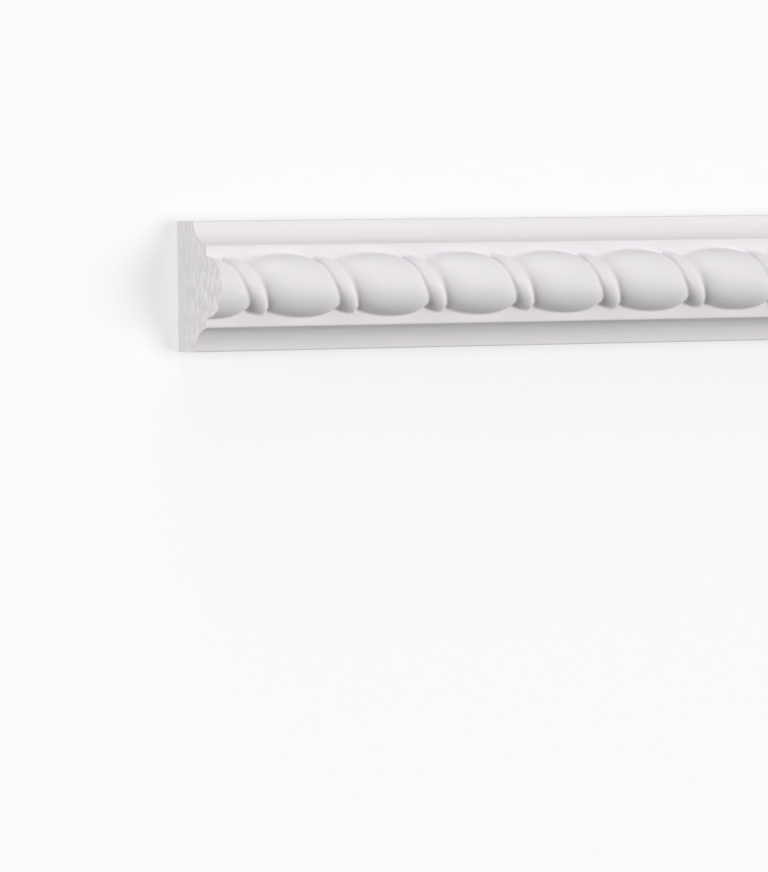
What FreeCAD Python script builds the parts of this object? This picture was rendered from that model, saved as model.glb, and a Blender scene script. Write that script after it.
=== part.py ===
import FreeCAD
import Part
import math
import os

# A two-metre length of white rigid-foam panel moulding, lying on its back.
# X runs along the length, Y across the width and Z out of the wall; Z = 0 is the back.
# All sizes are in millimetres.

# Stock
LENGTH = 2000.0
WIDTH = 50.0
EDGE_THICKNESS = 10.0
BED_WIDTH = 31.4
BED_HEIGHT = 18.2
COVE_RADIUS = 11.0
EDGE_ROUNDING = 0.6

# Rope ornament: plump beads with a narrow cord in each hollow between them.
# A lean is how far a form shifts towards -X for each millimetre towards +Y.
# A sink is how far the centre of a form's round lies under the bed.
ROPE_PITCH = 42.9
FIRST_BEAD_OUTSIDE = 3.2
BEAD_HALF_LENGTH = 22.4
BEAD_HALF_WIDTH = 12.4
BEAD_RISE = 10.5
BEAD_LEAN = 0.46
BEAD_SINK = 3.0

# Each cord has a ridge, with a long slope down to the bead before it and a short slope to the next
CORD_RIDGE_SHIFT = 0.8
CORD_HALF_WIDTH = 11.1
CORD_RISE = 9.2
CORD_LEAN = 0.55
CORD_SINK = 3.0
LONG_SLOPE_RUN = 8.8
LONG_SLOPE_HALF_WIDTH = 9.0
LONG_SLOPE_RISE = 4.5
SHORT_SLOPE_RUN = 3.8
SHORT_SLOPE_HALF_WIDTH = 7.2
SHORT_SLOPE_RISE = 2.5


def cove_middle(start, end):
    """Give the point half-way along the hollow arc from one cove edge to the other."""
    chord = end - start
    sagitta = COVE_RADIUS - math.sqrt(COVE_RADIUS ** 2 - (chord.Length / 2) ** 2)
    inward = chord.cross(FreeCAD.Vector(1, 0, 0)).normalize()
    if inward.z > 0:
        inward = -inward
    return (start + end) / 2 + inward * sagitta


def moulding_stock():
    """Extrude the plain section: flat back, square edges, a cove to each side of the bed."""
    start_x = -LENGTH / 2
    half_width = WIDTH / 2
    half_bed = BED_WIDTH / 2
    back_low = FreeCAD.Vector(start_x, -half_width, 0)
    back_high = FreeCAD.Vector(start_x, half_width, 0)
    edge_high = FreeCAD.Vector(start_x, half_width, EDGE_THICKNESS)
    bed_high = FreeCAD.Vector(start_x, half_bed, BED_HEIGHT)
    bed_low = FreeCAD.Vector(start_x, -half_bed, BED_HEIGHT)
    edge_low = FreeCAD.Vector(start_x, -half_width, EDGE_THICKNESS)
    outline = [
        Part.LineSegment(back_low, back_high),
        Part.LineSegment(back_high, edge_high),
        Part.Arc(edge_high, cove_middle(edge_high, bed_high), bed_high),
        Part.LineSegment(bed_high, bed_low),
        Part.Arc(bed_low, cove_middle(bed_low, edge_low), edge_low),
        Part.LineSegment(edge_low, back_low),
    ]
    section = Part.Face(Part.Wire([curve.toShape() for curve in outline]))
    stock = section.extrude(FreeCAD.Vector(LENGTH, 0, 0))
    front_edges = [edge for edge in stock.Edges
                   if abs(edge.tangentAt(edge.FirstParameter).x) > 0.99
                   and edge.CenterOfMass.z > EDGE_THICKNESS / 2]
    return stock.makeFillet(EDGE_ROUNDING, front_edges)


def leaning(shape, half_length, half_width, rise, sink, lean, centre_x):
    """Stretch a shape of unit radius over the bed, with its centre under the bed and leaning along X."""
    height = rise + sink
    spread = 1 / math.sqrt(1 - (sink / height) ** 2)
    stretch = FreeCAD.Matrix(
        half_length * spread, -lean * half_width * spread, 0, centre_x,
        0, half_width * spread, 0, 0,
        0, 0, height, BED_HEIGHT - sink,
        0, 0, 0, 1)
    return shape.transformGeometry(stretch)


def bead(centre_x):
    """Make one plump oval bead."""
    ball = Part.makeSphere(1, FreeCAD.Vector(0, 0, 0), FreeCAD.Vector(-1, 0, 0))
    return leaning(ball, BEAD_HALF_LENGTH, BEAD_HALF_WIDTH, BEAD_RISE, BEAD_SINK, BEAD_LEAN, centre_x)


def cord(ridge_x):
    """Make one cord, ruled through three leaning rings: its ridge and the ends of its two slopes."""
    rings = []
    for x, half_width, rise in (
            (ridge_x - LONG_SLOPE_RUN, LONG_SLOPE_HALF_WIDTH, LONG_SLOPE_RISE),
            (ridge_x, CORD_HALF_WIDTH, CORD_RISE),
            (ridge_x + SHORT_SLOPE_RUN, SHORT_SLOPE_HALF_WIDTH, SHORT_SLOPE_RISE)):
        hoop = Part.makeCircle(1, FreeCAD.Vector(0, 0, 0), FreeCAD.Vector(1, 0, 0))
        rings.append(Part.Wire(leaning(hoop, half_width, half_width, rise, CORD_SINK, CORD_LEAN, x)))
    return Part.makeLoft(rings, True, True)


def rope_ornament():
    """Lay beads and cords in turn along the bed, trimmed flush with the sawn ends."""
    bodies = []
    bead_x = -LENGTH / 2 - FIRST_BEAD_OUTSIDE
    while bead_x - BEAD_HALF_LENGTH < LENGTH / 2:
        bodies.append(bead(bead_x))
        bodies.append(cord(bead_x + ROPE_PITCH / 2 + CORD_RIDGE_SHIFT))
        bead_x += ROPE_PITCH
    rope = bodies[0].multiFuse(bodies[1:])
    between_ends = Part.makeBox(LENGTH, WIDTH, BED_HEIGHT + BEAD_RISE + CORD_RISE,
                                FreeCAD.Vector(-LENGTH / 2, -WIDTH / 2, 0))
    return rope.common(between_ends)


moulding = moulding_stock().fuse(rope_ornament()).removeSplitter()

os.makedirs("parts", exist_ok=True)
moulding.exportStep("parts/panel_moulding.step")
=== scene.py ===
import math

import bmesh
import bpy
import numpy
from mathutils import Matrix, Vector, noise


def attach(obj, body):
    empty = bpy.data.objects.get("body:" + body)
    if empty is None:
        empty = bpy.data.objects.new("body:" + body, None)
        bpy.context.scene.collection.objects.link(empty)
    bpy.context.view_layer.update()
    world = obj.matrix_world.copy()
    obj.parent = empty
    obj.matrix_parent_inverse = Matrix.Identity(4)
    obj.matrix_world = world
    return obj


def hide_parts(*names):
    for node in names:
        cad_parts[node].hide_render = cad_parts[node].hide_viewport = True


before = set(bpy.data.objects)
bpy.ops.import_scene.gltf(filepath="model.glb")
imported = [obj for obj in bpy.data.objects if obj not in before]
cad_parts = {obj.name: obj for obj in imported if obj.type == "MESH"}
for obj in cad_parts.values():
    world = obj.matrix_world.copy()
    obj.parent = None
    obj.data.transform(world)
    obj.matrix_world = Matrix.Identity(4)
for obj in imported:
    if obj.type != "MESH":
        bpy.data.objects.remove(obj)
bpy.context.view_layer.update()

# A length of white rigid-foam panel moulding, lying on its back on a pale floor.
# X runs along the length, Y across the width and Z up, out of the back.  All sizes are in metres.

# The solid that the scene's piece stands for
NODE = "panel_moulding"

# Stock section, as in the solid
LENGTH = 2.0
WIDTH = 0.050
EDGE_THICKNESS = 0.0100
BED_WIDTH = 0.0314
BED_HEIGHT = 0.0182
COVE_RADIUS = 0.011
EDGE_ROUNDING = 0.0006

# Rope ornament: plump beads with a narrow cord in each hollow between them.
# lean is how far a form shifts towards -X for each metre towards +Y, and bend how much it bows.
# sink is how far the centre of a form lies under the bed.
# skew is how much longer than usual its -X half is, with its +X half as much shorter.
# twist is how much less that is at the rope's +Y edge, and how much more at its -Y edge.
# end_power and round_power tell how blunt it is along its length and round its girth; 2 is an oval.
ROPE_PITCH = 0.0429
FIRST_BEAD_OUTSIDE = 0.0029
CORD_SHIFT = -0.0025
BEAD = {
    "half_length": 0.0228, "half_width": 0.01215, "rise": 0.0105, "sink": 0.0014,
    "lean": 0.458, "bend": 2.3, "skew": 0.0, "twist": 0.0, "end_power": 2.25, "round_power": 2.15,
}
CORD = {
    "half_length": 0.0089, "half_width": 0.0110, "rise": 0.0088, "sink": 0.0013,
    "lean": 0.70, "bend": -20.0, "skew": -0.23, "twist": 0.31, "end_power": 2.0, "round_power": 1.85,
}
ROPE_TOP = BED_HEIGHT + BEAD["rise"]

# Softness of the moulding: the groove before each cord, the blend of the cord into the bead after it,
# which is softer by BLEND_RISE of itself towards +Y and crisper towards -Y, and the foot of the rope
GROOVE_SOFTNESS = 0.0005
BLEND_SOFTNESS = 0.0019
BLEND_RISE = 0.7
FOOT_RADIUS = 0.0009

# Sawn ends: depth of the saw marks, how far apart they are across and along the cut, and their fading rim
SAW_DEPTH = 0.0008
SAW_SPACING = 0.0016
SAW_RUN = 0.005
SAW_RIM = 0.0006

# Share of the saw depth at the back, its usual level, and how far streaks and tears change it
SAW_BACK_SHARE = 0.15
SAW_LEVEL = 0.5
SAW_STREAKS = 0.6
SAW_TEARS = 0.4

# Other places in the noise, for the wander of the streaks and for the tears
WANDER_PLACE = 9.0
TEAR_PLACE = 5.0

# Mesh density
COLUMNS_PER_PITCH = 46
ROPE_ROWS = 36
BED_MARGIN = 0.0004
SIDE_COLUMNS = 24
COVE_STEPS = 14
CORNER_STEPS = 4
CAP_ROWS = 60
SEARCH_STEPS = 18
SAME_POINT = 0.000001

# The rope's columns lean, except at the sawn ends, and gather where its surface bends.
# The bending is sampled along one pitch, on lines at some angles round the rope, in degrees.
GRID_LEAN = 0.48
GRID_LEAN_RUN = 0.020
GATHER_SAMPLES = 600
GATHER_ANGLES = (-70.0, -35.0, 0.0, 35.0, 70.0)
GATHER_SPAN = 0.0015
GATHER_WEIGHT = 3.0

# Primer: two near whites in long clouds, under a fine orange peel.  Waves are counted per metre.
PRIMED_SLOT = 0
PRIMER_COLOURS = ((0.79, 0.763, 0.79), (0.82, 0.792, 0.82))
PRIMER_ROUGHNESS = 0.6
PRIMER_SHINE = 0.3
CLOUD_WAVES = (4.8, 160.0, 160.0)
CLOUD_DETAIL = 3.0
CLOUD_STOPS = (0.35, 0.65)
PEEL_WAVES = (630.0, 900.0, 900.0)
PEEL_DETAIL = 2.0
PEEL_STRENGTH = 0.12
PEEL_HEIGHT = 0.0002

# Bare foam of the sawn ends: streaks along the saw marks, with shares of their tint and relief
# at the back of the moulding and at the top of the rope. The tint is partly the foam's own streaky tone
# and partly painted shade in the marks' hollows and painted light on their ridges, strongest at the front.
SAWN_SLOT = 1
FOAM_AND_SAW_SHADE_COLOURS = ((0.74, 0.713, 0.74), (0.85, 0.822, 0.85))
FOAM_ROUGHNESS = 0.9
FOAM_SHINE = 0.15
STREAK_WAVES = (500.0, 190.0, 620.0)
STREAK_DETAIL = 2.0
STREAK_MIDDLE = 0.5
STREAK_STOPS = (0.38, 0.62)
STREAK_HEIGHT = 0.0006
STREAK_TINT_AND_SHADE_SHARES = (0.25, 1.7)
STREAK_RELIEF_SHARES = (0.15, 1.0)

# Camera: turned from the rope's face towards the sawn end, nearly level with the strip.
# The frame's centre is measured from the middle of the bed at the sawn end.
IMAGE_HEIGHT = 872
VIEW_TURN = math.radians(36.87)
VIEW_RISE = math.radians(1.52)
VIEW_ROLL = math.radians(-0.51)
VIEW_DISTANCE = 3.368
FRAME_CENTRE_RIGHT = 0.0677
FRAME_CENTRE_UP = -0.0568
FOCAL_PIXELS = 8851
SENSOR_WIDTH = 36.0

# Light: soft lamps as (name, where from, strength, spread in degrees)
LAMPS = [
    ("left", (-0.992, 0.087, 0.096), 3.22, 30.0),
    ("back", (0.0, 0.966, 0.259), 1.25, 40.0),
    ("right", (0.669, -0.012, 0.743), 2.6, 40.0),
    ("low", (-0.35, -0.7, 0.62), 0.22, 60.0),
]
WHITE = (1.0, 1.0, 1.0)
WORLD_STRENGTH = 0.02

# Floor: dull, with its shade of grey in the light it throws back and its share of light of its own
FLOOR_SIZE = 12.0
FLOOR_LEVEL = -0.0002
FLOOR_ROUGHNESS = 1.0
FLOOR_SHINE = 0.0
FLOOR_BOUNCE = (0.10, 0.10, 0.10)
FLOOR_GLOW = 0.6


def form_level(form, along, across, up):
    """Below zero inside a bead or cord and above zero outside, for points measured from its centre.

    The bow has its mean over the width taken off, so that it leaves the form where it is.
    """
    height = form["rise"] + form["sink"]
    room = 1.0 - (form["sink"] / height) ** form["round_power"]
    half_length = form["half_length"] / room ** (1.0 / form["end_power"])
    half_width = form["half_width"] / room ** (1.0 / form["round_power"])
    bow = form["bend"] * (across ** 2 - form["half_width"] ** 2 / 3.0)
    straight = (along + form["lean"] * across + bow) / half_length
    skew = form["skew"] - form["twist"] * numpy.clip(across / form["half_width"], -1.0, 1.0)
    straight = straight / numpy.where(straight > 0.0, 1.0 - skew, 1.0 + skew)
    girth = numpy.abs(across / half_width) ** form["round_power"]
    girth = girth + ((up + form["sink"]) / height) ** form["round_power"]
    return numpy.abs(straight) ** form["end_power"] + girth - 1.0


def form_reach(form, along, lean, sine, cosine):
    """Distance from the rope's axis on the bed to a form's surface, for rays round the axis.

    along is how far each ray starts from the form's centre and lean how far it leans on its way.
    Rays that start outside the form give zero.  No form reaches further than its whole width.
    """
    low = numpy.zeros_like(along * sine)
    high = numpy.full_like(low, 2.0 * form["half_width"])
    for step in range(SEARCH_STEPS):
        middle = (low + high) / 2.0
        inside = form_level(form, along - lean * sine * middle, sine * middle, cosine * middle) < 0.0
        low = numpy.where(inside, middle, low)
        high = numpy.where(inside, high, middle)
    return low


def soft_max(first, second, softness):
    """The larger of two lengths, with the corner between them rounded."""
    overlap = numpy.maximum(softness - numpy.abs(first - second), 0.0)
    return numpy.maximum(first, second) + overlap ** 2 / (4.0 * softness)


def rope_reach(start, lean, sine, cosine):
    """Distance from the axis to the rope's surface: beads and cords in turn, softly joined."""
    after_bead = (start + LENGTH / 2 + FIRST_BEAD_OUTSIDE) % ROPE_PITCH
    reach = numpy.zeros_like(start * sine)
    blend = BLEND_SOFTNESS * (1.0 + BLEND_RISE * sine)
    for repeat in (-1, 0, 1):
        place = after_bead + repeat * ROPE_PITCH
        cord = form_reach(CORD, place - ROPE_PITCH / 2 - CORD_SHIFT, lean, sine, cosine)
        next_bead = form_reach(BEAD, place - ROPE_PITCH, lean, sine, cosine)
        reach = soft_max(reach, soft_max(cord, next_bead, blend), GROOVE_SOFTNESS)
    return reach


def column_places():
    """Places of the columns along the length, closer together where the rope's surface bends."""
    place = numpy.linspace(0.0, ROPE_PITCH, GATHER_SAMPLES, endpoint=False)
    angle = numpy.radians(GATHER_ANGLES)[:, None]
    reach = rope_reach(place - LENGTH / 2, GRID_LEAN, numpy.sin(angle), numpy.cos(angle))
    bending = numpy.abs(numpy.roll(reach, 1, 1) + numpy.roll(reach, -1, 1) - 2.0 * reach).sum(axis=0)
    span = int(GATHER_SPAN / ROPE_PITCH * GATHER_SAMPLES)
    bending = sum(numpy.roll(bending, shift) for shift in range(-span, span + 1))
    density = 1.0 + GATHER_WEIGHT * bending / bending.max()
    total = numpy.concatenate([[0.0], numpy.cumsum(density)]) / density.sum()
    share = numpy.arange(COLUMNS_PER_PITCH) / COLUMNS_PER_PITCH
    repeat = numpy.interp(share, total, numpy.linspace(0.0, ROPE_PITCH, GATHER_SAMPLES + 1))
    repeats = int(LENGTH / ROPE_PITCH) + 1
    places = (numpy.arange(repeats)[:, None] * ROPE_PITCH + repeat).ravel() - LENGTH / 2
    inner = places[numpy.abs(places) < LENGTH / 2 - ROPE_PITCH / COLUMNS_PER_PITCH / 2]
    return numpy.concatenate([[-LENGTH / 2], inner, [LENGTH / 2]])


def rope_grid():
    """Points over the bed and the rope, one row for each angle round the rope, from -Y to +Y.

    The columns lean with the rope, and stand upright again at the sawn ends.  The rows are closest
    together at the foot of the rope.
    """
    start = column_places()
    from_end = LENGTH / 2 - numpy.abs(start)
    ramp = numpy.clip(from_end / GRID_LEAN_RUN, 0.0, 1.0)
    lean = GRID_LEAN * ramp * ramp * (3.0 - 2.0 * ramp)
    turn = numpy.linspace(-math.pi / 2, math.pi / 2, ROPE_ROWS + 1)[:, None]
    angle = math.pi / 2 * numpy.sin(turn)
    sine = numpy.sin(angle)
    cosine = numpy.cos(angle)
    reach = rope_reach(start, lean, sine, cosine)
    up = reach * cosine
    flare = 1.0 - numpy.clip(up / FOOT_RADIUS, 0.0, 1.0)
    foot = FOOT_RADIUS * (1.0 - numpy.sqrt(1.0 - flare ** 2))
    across = reach * sine + numpy.sign(sine) * foot
    side = numpy.full((1, len(start)), BED_WIDTH / 2 - EDGE_ROUNDING)
    flat = numpy.zeros((2, len(start)))
    across = numpy.vstack([-side, across[:1] - BED_MARGIN, across, across[-1:] + BED_MARGIN, side])
    up = numpy.vstack([flat, up, flat]) + BED_HEIGHT
    along = start - lean * across
    return numpy.stack([along, across, up], axis=2)


def hollow_arc(start, end, radius, steps):
    """Points of the cove's arc from start to end, hollowed into the section."""
    chord = end - start
    outward = Vector((-chord.y, chord.x)).normalized()
    if outward.y < 0:
        outward = -outward
    centre = (start + end) / 2 + outward * math.sqrt(radius ** 2 - chord.length_squared / 4)
    first = math.atan2(start.y - centre.y, start.x - centre.x)
    last = math.atan2(end.y - centre.y, end.x - centre.x)
    turns = numpy.linspace(first, last, steps + 1)
    return [centre + radius * Vector((math.cos(turn), math.sin(turn))) for turn in turns]


def eased(before, corner, after, size):
    """Points that round a corner of the section, with one more each side to keep the faces flat."""
    arm_in = (before - corner).normalized()
    arm_out = (after - corner).normalized()
    first = corner + arm_in * size
    last = corner + arm_out * size
    points = [first + arm_in * size / 2]
    for step in range(CORNER_STEPS + 1):
        share = step / CORNER_STEPS
        points.append(first * (1 - share) ** 2 + corner * 2 * share * (1 - share) + last * share ** 2)
    points.append(last + arm_out * size / 2)
    return points


def side_outline():
    """Points of one side of the section in Y and Z, from the back up to the edge of the bed."""
    back = Vector((WIDTH / 2, 0.0))
    edge = Vector((WIDTH / 2, EDGE_THICKNESS))
    arris = Vector((BED_WIDTH / 2, BED_HEIGHT))
    bed = Vector((BED_WIDTH / 2 - EDGE_ROUNDING, BED_HEIGHT))
    cove = hollow_arc(edge, arris, COVE_RADIUS, COVE_STEPS)
    outline = [back]
    outline += eased(back, edge, cove[1], EDGE_ROUNDING)
    outline += cove[2:-2]
    outline += eased(cove[-2], arris, bed, EDGE_ROUNDING)[:-1]
    return [(point.x, point.y) for point in outline]


def strip_grid(outline):
    """Points of a strip that runs the whole length with the same outline in Y and Z."""
    stations = numpy.linspace(-LENGTH / 2, LENGTH / 2, SIDE_COLUMNS + 1)
    return numpy.array([[(x, y, z) for x in stations] for y, z in outline])


def saw_mark(x, y, z):
    """Depth of the saw marks at a point of an end: broken streaks across the width, torn deeper in front."""
    run = y / SAW_RUN
    wander = noise.noise(Vector((x + WANDER_PLACE, run, z / SAW_RUN))) * SAW_SPACING
    streak = noise.noise(Vector((x, run, (z + wander) / SAW_SPACING)))
    tear = noise.noise(Vector((x + TEAR_PLACE, run * 2, z / SAW_SPACING / 2)))
    share = SAW_BACK_SHARE + (1.0 - SAW_BACK_SHARE) * (z / ROPE_TOP) ** 2
    level = SAW_LEVEL + SAW_STREAKS * streak + SAW_TEARS * tear
    return SAW_DEPTH * share * min(max(level, 0.0), 1.0)


def cap_grid(front, inward):
    """Points of a sawn end, from the back up to the front profile, with the saw marks cut inwards."""
    grid = []
    for row in range(CAP_ROWS + 1):
        share = row / CAP_ROWS
        line = []
        for x, y, z in front:
            height = z * share
            rim = min(height, z - height, WIDTH / 2 - abs(y))
            depth = saw_mark(x, y, height) * min(max(rim / SAW_RIM, 0.0), 1.0)
            line.append((x + inward * depth, y, height))
        grid.append(line)
    return numpy.array(grid)


def grid_faces(shape, first, flipped):
    """Quads that join neighbouring points of a grid whose points start at index first."""
    rows, columns = shape[:2]
    index = first + numpy.arange(rows * columns).reshape(rows, columns)
    corners = [index[:-1, :-1], index[:-1, 1:], index[1:, 1:], index[1:, :-1]]
    if flipped:
        corners.reverse()
    return numpy.stack(corners, axis=2).reshape(-1, 4)


def end_profile(rope, low_side, high_side, column):
    """Points of the front of the section at one end, from edge to edge, each further along Y."""
    profile = []
    for point in numpy.concatenate([low_side[:, column][::-1], rope[:, column], high_side[:, column][::-1]]):
        if not profile or point[1] > profile[-1][1] + SAME_POINT:
            profile.append(point)
        elif point[2] > profile[-1][2]:
            profile[-1] = point
    return profile


def points_between(places, first, last):
    """Those of some places that lie on the straight line between two points, in order."""
    offset = places - first
    run = last - first
    share = offset @ run / (run @ run)
    apart = numpy.linalg.norm(offset - share[:, None] * run, axis=1)
    margin = SAME_POINT / numpy.linalg.norm(run)
    between = (apart < SAME_POINT) & (share > margin) & (share < 1.0 - margin)
    return places[between][numpy.argsort(share[between])]


def seal_seams(mesh):
    """Weld the grids into one closed skin, with each seam's points on both sides of it and crisp seams.

    An edge of a seam is split half-way, and the new point is then moved to its place.
    """
    skin = bmesh.new()
    skin.from_mesh(mesh)
    for edge in skin.edges:
        edge.smooth = not edge.is_boundary
    bmesh.ops.remove_doubles(skin, verts=skin.verts, dist=SAME_POINT)
    seams = [edge for edge in skin.edges if edge.is_boundary]
    places = numpy.array([vert.co for vert in {vert for edge in seams for vert in edge.verts}])
    for edge in seams:
        vert, last = edge.verts
        for place in points_between(places, numpy.array(vert.co), numpy.array(last.co)):
            vert = bmesh.utils.edge_split(edge, vert, 0.5)[1]
            vert.co = place
    bmesh.ops.remove_doubles(skin, verts=skin.verts, dist=SAME_POINT)
    many_sided = [face for face in skin.faces if len(face.verts) > 4]
    bmesh.ops.triangulate(skin, faces=many_sided, ngon_method="BEAUTY")
    skin.to_mesh(mesh)
    skin.free()


def build_moulding():
    """The whole moulding as one object: rope and bed, sides and back, and the two sawn ends."""
    rope = rope_grid()
    outline = side_outline()
    low_side = strip_grid([(-y, z) for y, z in reversed(outline)])
    back = strip_grid([(-WIDTH / 2, 0.0), (WIDTH / 2, 0.0)])
    high_side = strip_grid(outline)
    left = cap_grid(end_profile(rope, low_side, high_side, 0), 1.0)
    right = cap_grid(end_profile(rope, low_side, high_side, -1), -1.0)
    grids = [
        (rope, False, PRIMED_SLOT),
        (low_side, True, PRIMED_SLOT),
        (back, True, PRIMED_SLOT),
        (high_side, True, PRIMED_SLOT),
        (left, True, SAWN_SLOT),
        (right, False, SAWN_SLOT),
    ]
    points = []
    faces = []
    slots = []
    count = 0
    for grid, flipped, slot in grids:
        quads = grid_faces(grid.shape, count, flipped)
        points.append(grid.reshape(-1, 3))
        faces.append(quads)
        slots += [slot] * len(quads)
        count += grid.shape[0] * grid.shape[1]
    mesh = bpy.data.meshes.new("panel_moulding_body")
    mesh.from_pydata(numpy.vstack(points).tolist(), [], numpy.vstack(faces).tolist())
    mesh.shade_smooth()
    mesh.materials.append(primed_foam())
    mesh.materials.append(sawn_foam())
    mesh.polygons.foreach_set("material_index", slots)
    seal_seams(mesh)
    piece = bpy.data.objects.new("panel_moulding_body", mesh)
    bpy.context.scene.collection.objects.link(piece)
    return piece


def plain_material(name, roughness, shine):
    """A new material of one roughness and shine, with its node tree and shader."""
    material = bpy.data.materials.new(name)
    material.use_nodes = True
    tree = material.node_tree
    shader = tree.nodes["Principled BSDF"]
    shader.inputs["Roughness"].default_value = roughness
    shader.inputs["Specular IOR Level"].default_value = shine
    return material, tree, shader


def noise_value(tree, waves, detail):
    """Noise in the object's own coordinates, with its waves per metre along the three axes."""
    place = tree.nodes.new("ShaderNodeTexCoord")
    mapping = tree.nodes.new("ShaderNodeMapping")
    mapping.inputs["Scale"].default_value = waves
    texture = tree.nodes.new("ShaderNodeTexNoise")
    texture.inputs["Scale"].default_value = 1.0
    texture.inputs["Detail"].default_value = detail
    tree.links.new(place.outputs["Object"], mapping.inputs["Vector"])
    tree.links.new(mapping.outputs["Vector"], texture.inputs["Vector"])
    return texture.outputs["Fac"]


def math_value(tree, operation, *values):
    """The result of a sum on numbers and on other nodes' values."""
    node = tree.nodes.new("ShaderNodeMath")
    node.operation = operation
    for socket, value in zip(node.inputs, values):
        if isinstance(value, bpy.types.NodeSocket):
            tree.links.new(value, socket)
        else:
            socket.default_value = value
    return node.outputs["Value"]


def ramp_colour(tree, value, stops, colours):
    """A colour that goes from one to another over a stretch of a node's value."""
    ramp = tree.nodes.new("ShaderNodeValToRGB")
    for element, stop, colour in zip(ramp.color_ramp.elements, stops, colours):
        element.position = stop
        element.color = (*colour, 1.0)
    tree.links.new(value, ramp.inputs["Fac"])
    return ramp.outputs["Color"]


def add_relief(tree, shader, height, distance):
    """Give a shader surface relief from a node's value, and give back the relief's node."""
    bump = tree.nodes.new("ShaderNodeBump")
    bump.inputs["Distance"].default_value = distance
    tree.links.new(height, bump.inputs["Height"])
    tree.links.new(bump.outputs["Normal"], shader.inputs["Normal"])
    return bump


def front_share(tree, shares):
    """A value that goes from one share at the back of the moulding to another at the top of the rope."""
    place = tree.nodes.new("ShaderNodeTexCoord")
    parts = tree.nodes.new("ShaderNodeSeparateXYZ")
    share = tree.nodes.new("ShaderNodeMapRange")
    share.inputs["From Max"].default_value = ROPE_TOP
    share.inputs["To Min"].default_value = shares[0]
    share.inputs["To Max"].default_value = shares[1]
    tree.links.new(place.outputs["Object"], parts.inputs["Vector"])
    tree.links.new(parts.outputs["Z"], share.inputs["Value"])
    return share.outputs["Result"]


def primed_foam():
    """Smooth matte primer: a nearly even white with a faint cloudiness and orange peel."""
    material, tree, shader = plain_material("primed_foam", PRIMER_ROUGHNESS, PRIMER_SHINE)
    cloud = noise_value(tree, CLOUD_WAVES, CLOUD_DETAIL)
    tree.links.new(ramp_colour(tree, cloud, CLOUD_STOPS, PRIMER_COLOURS), shader.inputs["Base Color"])
    peel = noise_value(tree, PEEL_WAVES, PEEL_DETAIL)
    relief = add_relief(tree, shader, peel, PEEL_HEIGHT)
    relief.inputs["Strength"].default_value = PEEL_STRENGTH
    return material


def sawn_foam():
    """Bare cut foam: rough and streaked along the saw marks, less so towards the back. The streaks' tint is
    partly painted shade in the marks' hollows and painted light on their ridges.
    """
    material, tree, shader = plain_material("sawn_foam", FOAM_ROUGHNESS, FOAM_SHINE)
    streak = noise_value(tree, STREAK_WAVES, STREAK_DETAIL)
    # Tint from the same streaks as the relief: the foam's own tone, plus painted shade where the marks sink
    # and painted light where they stand up
    tint_and_shade_share = front_share(tree, STREAK_TINT_AND_SHADE_SHARES)
    from_middle = math_value(tree, "SUBTRACT", streak, STREAK_MIDDLE)
    tint_and_shade = math_value(tree, "MULTIPLY_ADD", from_middle, tint_and_shade_share, STREAK_MIDDLE)
    tree.links.new(ramp_colour(tree, tint_and_shade, STREAK_STOPS, FOAM_AND_SAW_SHADE_COLOURS), shader.inputs["Base Color"])
    relief = add_relief(tree, shader, streak, STREAK_HEIGHT)
    tree.links.new(front_share(tree, STREAK_RELIEF_SHARES), relief.inputs["Strength"])
    return material


def seen_directly(tree):
    """A value that is 1 for what the camera sees, straight or by reflection, and 0 for other light."""
    path = tree.nodes.new("ShaderNodeLightPath")
    straight = math_value(tree, "MAXIMUM", path.outputs["Is Camera Ray"], path.outputs["Is Glossy Ray"])
    return math_value(tree, "MAXIMUM", straight, path.outputs["Is Transmission Ray"])


def floor_material():
    """White to look at, with a share of its own light, and greyer in the light it throws back."""
    material, tree, shader = plain_material("floor_white", FLOOR_ROUGHNESS, FLOOR_SHINE)
    seen = seen_directly(tree)
    colour = ramp_colour(tree, seen, (0.0, 1.0), (FLOOR_BOUNCE, WHITE))
    tree.links.new(colour, shader.inputs["Base Color"])
    glow = tree.nodes.new("ShaderNodeEmission")
    blend = tree.nodes.new("ShaderNodeMixShader")
    tree.links.new(math_value(tree, "MULTIPLY", seen, FLOOR_GLOW), blend.inputs["Fac"])
    tree.links.new(shader.outputs["BSDF"], blend.inputs[1])
    tree.links.new(glow.outputs["Emission"], blend.inputs[2])
    tree.links.new(blend.outputs["Shader"], tree.nodes["Material Output"].inputs["Surface"])
    return material


def floor_piece():
    """A plain floor, just under the moulding."""
    half = FLOOR_SIZE / 2
    mesh = bpy.data.meshes.new("floor")
    corners = [(-half, -half, 0.0), (half, -half, 0.0), (half, half, 0.0), (-half, half, 0.0)]
    mesh.from_pydata(corners, [], [(0, 1, 2, 3)])
    mesh.materials.append(floor_material())
    floor = bpy.data.objects.new("floor", mesh)
    floor.location.z = FLOOR_LEVEL
    bpy.context.scene.collection.objects.link(floor)
    return floor


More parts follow.
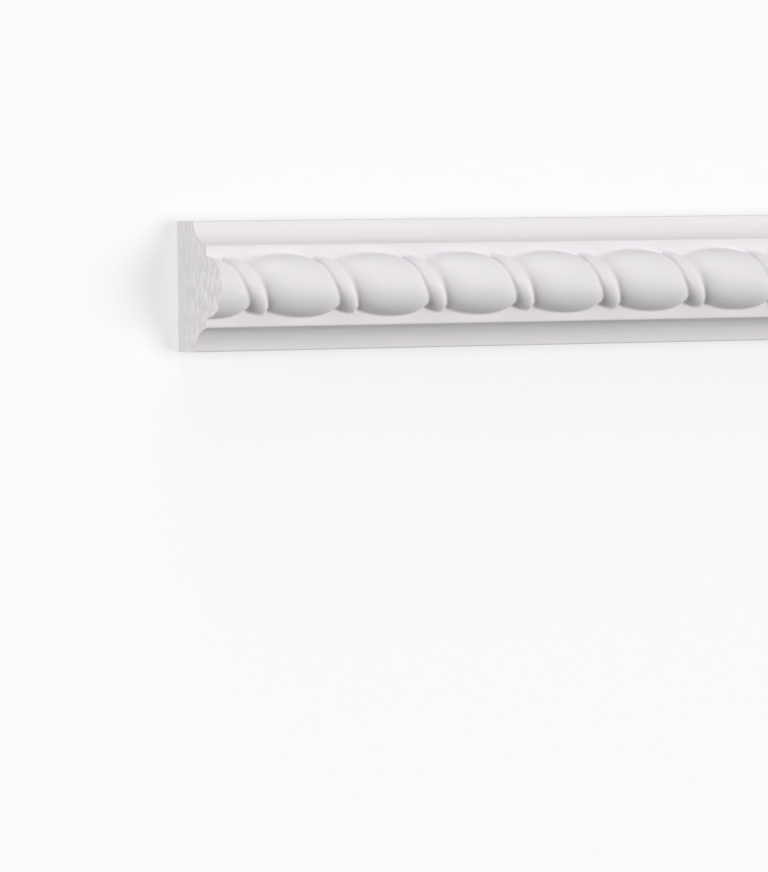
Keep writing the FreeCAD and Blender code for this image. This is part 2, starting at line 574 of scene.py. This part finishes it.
def studio_world():
    """A white surround that gives the object only a little light."""
    world = bpy.data.worlds.new("studio")
    world.use_nodes = True
    tree = world.node_tree
    background = tree.nodes["Background"]
    background.inputs["Color"].default_value = (*WHITE, 1.0)
    strength = math_value(tree, "MAXIMUM", seen_directly(tree), WORLD_STRENGTH)
    tree.links.new(strength, background.inputs["Strength"])
    bpy.context.scene.world = world


def sun(name, direction, strength, spread):
    """A soft lamp that shines evenly along the whole length."""
    lamp = bpy.data.lights.new(name, "SUN")
    lamp.energy = strength
    lamp.angle = math.radians(spread)
    light = bpy.data.objects.new(name, lamp)
    light.rotation_euler = Vector(direction).to_track_quat("Z", "Y").to_euler()
    bpy.context.scene.collection.objects.link(light)


def camera_piece():
    """The camera, aimed so that the sawn end lands where the photograph has it."""
    forward = Vector((math.sin(VIEW_TURN) * math.cos(VIEW_RISE), -math.sin(VIEW_RISE),
                      -math.cos(VIEW_TURN) * math.cos(VIEW_RISE)))
    level = forward.cross(Vector((0.0, 1.0, 0.0))).normalized()
    upright = level.cross(forward)
    right = level * math.cos(VIEW_ROLL) + upright * math.sin(VIEW_ROLL)
    top = upright * math.cos(VIEW_ROLL) - level * math.sin(VIEW_ROLL)
    sawn_end = Vector((-LENGTH / 2, 0.0, BED_HEIGHT))
    place = sawn_end - forward * VIEW_DISTANCE + right * FRAME_CENTRE_RIGHT + top * FRAME_CENTRE_UP
    lens = bpy.data.cameras.new("camera")
    lens.sensor_width = SENSOR_WIDTH
    lens.lens = FOCAL_PIXELS * SENSOR_WIDTH / IMAGE_HEIGHT
    camera = bpy.data.objects.new("camera", lens)
    camera.matrix_world = Matrix.Translation(place) @ Matrix((right, top, -forward)).transposed().to_4x4()
    bpy.context.scene.collection.objects.link(camera)
    bpy.context.scene.camera = camera


moulding = build_moulding()
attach(moulding, "root")
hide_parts(NODE)
floor_piece()
camera_piece()
for name, direction, strength, spread in LAMPS:
    sun(name, direction, strength, spread)
studio_world()
bpy.context.scene.view_settings.view_transform = "Standard"
